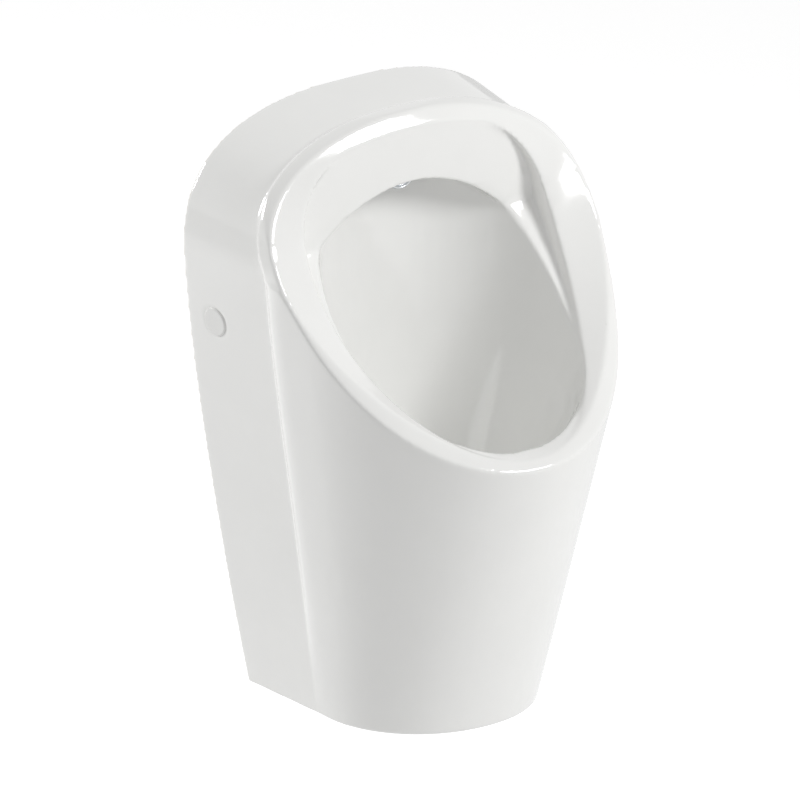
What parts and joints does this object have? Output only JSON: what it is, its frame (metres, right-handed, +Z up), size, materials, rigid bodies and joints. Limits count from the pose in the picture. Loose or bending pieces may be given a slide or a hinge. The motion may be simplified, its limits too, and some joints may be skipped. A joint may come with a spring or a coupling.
{
  "type": "wall-hung urinal",
  "caption": "Wall-hung white ceramic urinal with a slanted oval mouth, hidden wall brackets and side screws under caps, spray head, lift-out strainer and bottle trap.",
  "frame": {"origin": "centre of the four wall bolt holes, on the plane of the wall", "axes": "+X to the right as seen from the room, +Y into the wall, +Z up; the mouth faces -Y"},
  "size_m": [0.363, 0.3119, 0.565],
  "materials": {
    "glazed_china": "gloss glaze",
    "white_cap": "moulded gloss",
    "zinc_steel": "zinc plated",
    "nylon": "turned",
    "chrome_brass": "polished",
    "bare_brass": "machined",
    "seal_rubber": "matte",
    "white_polypropylene": "moulded satin"
  },
  "bodies": {
    "urinal": {"ceramic_body": "glazed_china", "wall_bracket_left": "zinc_steel", "wall_bracket_right": "zinc_steel", "lock_bush_left": "nylon", "lock_bush_right": "nylon", "bracket_nut_left": "zinc_steel", "bracket_nut_right": "zinc_steel", "spray_head": "chrome_brass", "spray_gasket": "seal_rubber", "spray_back_gasket": "seal_rubber", "spray_lock_nut": "bare_brass", "inlet_seal": "seal_rubber", "inlet_connector": "white_polypropylene", "waste_gasket": "seal_rubber", "waste_flange": "chrome_brass", "waste_lower_gasket": "seal_rubber", "waste_lock_nut": "bare_brass", "trap_body": "white_polypropylene", "trap_dip_tube": "white_polypropylene", "trap_inlet_seal": "seal_rubber", "trap_inlet_nut": "white_polypropylene", "outlet_pipe": "white_polypropylene", "outlet_seal": "seal_rubber", "outlet_nut": "white_polypropylene"},
    "side_cap_left": {"side_cap_left": "white_cap"},
    "side_cap_right": {"side_cap_right": "white_cap"},
    "lock_screw_left": {"lock_screw_left": "zinc_steel"},
    "lock_screw_right": {"lock_screw_right": "zinc_steel"},
    "strainer": {"strainer": "chrome_brass"},
    "trap_cup": {"trap_cup": "white_polypropylene", "trap_cup_seal": "seal_rubber"}
  },
  "joints": [
    {"name": "side_cap_left_pull", "type": "slide", "parent": "urinal", "child": "side_cap_left", "axis": [-0.9853, -0.1171, -0.1245], "range_m": [0, 0.025]},
    {"name": "side_cap_right_pull", "type": "slide", "parent": "urinal", "child": "side_cap_right", "axis": [0.9853, -0.1171, -0.1245], "range_m": [0, 0.025]},
    {"name": "lock_screw_left_turn", "type": "hinge", "parent": "urinal", "child": "lock_screw_left", "pos_m": [-0.17141, -0.037, 0], "axis": [-0.9853, -0.1171, -0.1245], "range_deg": [0, 720]},
    {"name": "lock_screw_right_turn", "type": "hinge", "parent": "urinal", "child": "lock_screw_right", "pos_m": [0.17141, -0.037, 0], "axis": [0.9853, -0.1171, -0.1245], "range_deg": [0, 720]},
    {"name": "strainer_lift", "type": "slide", "parent": "urinal", "child": "strainer", "axis": [0, 0, 1], "range_m": [0, 0.06]},
    {"name": "trap_cup_drop", "type": "slide", "parent": "urinal", "child": "trap_cup", "axis": [0, 0, -1], "range_m": [0, 0.045]}
  ]
}
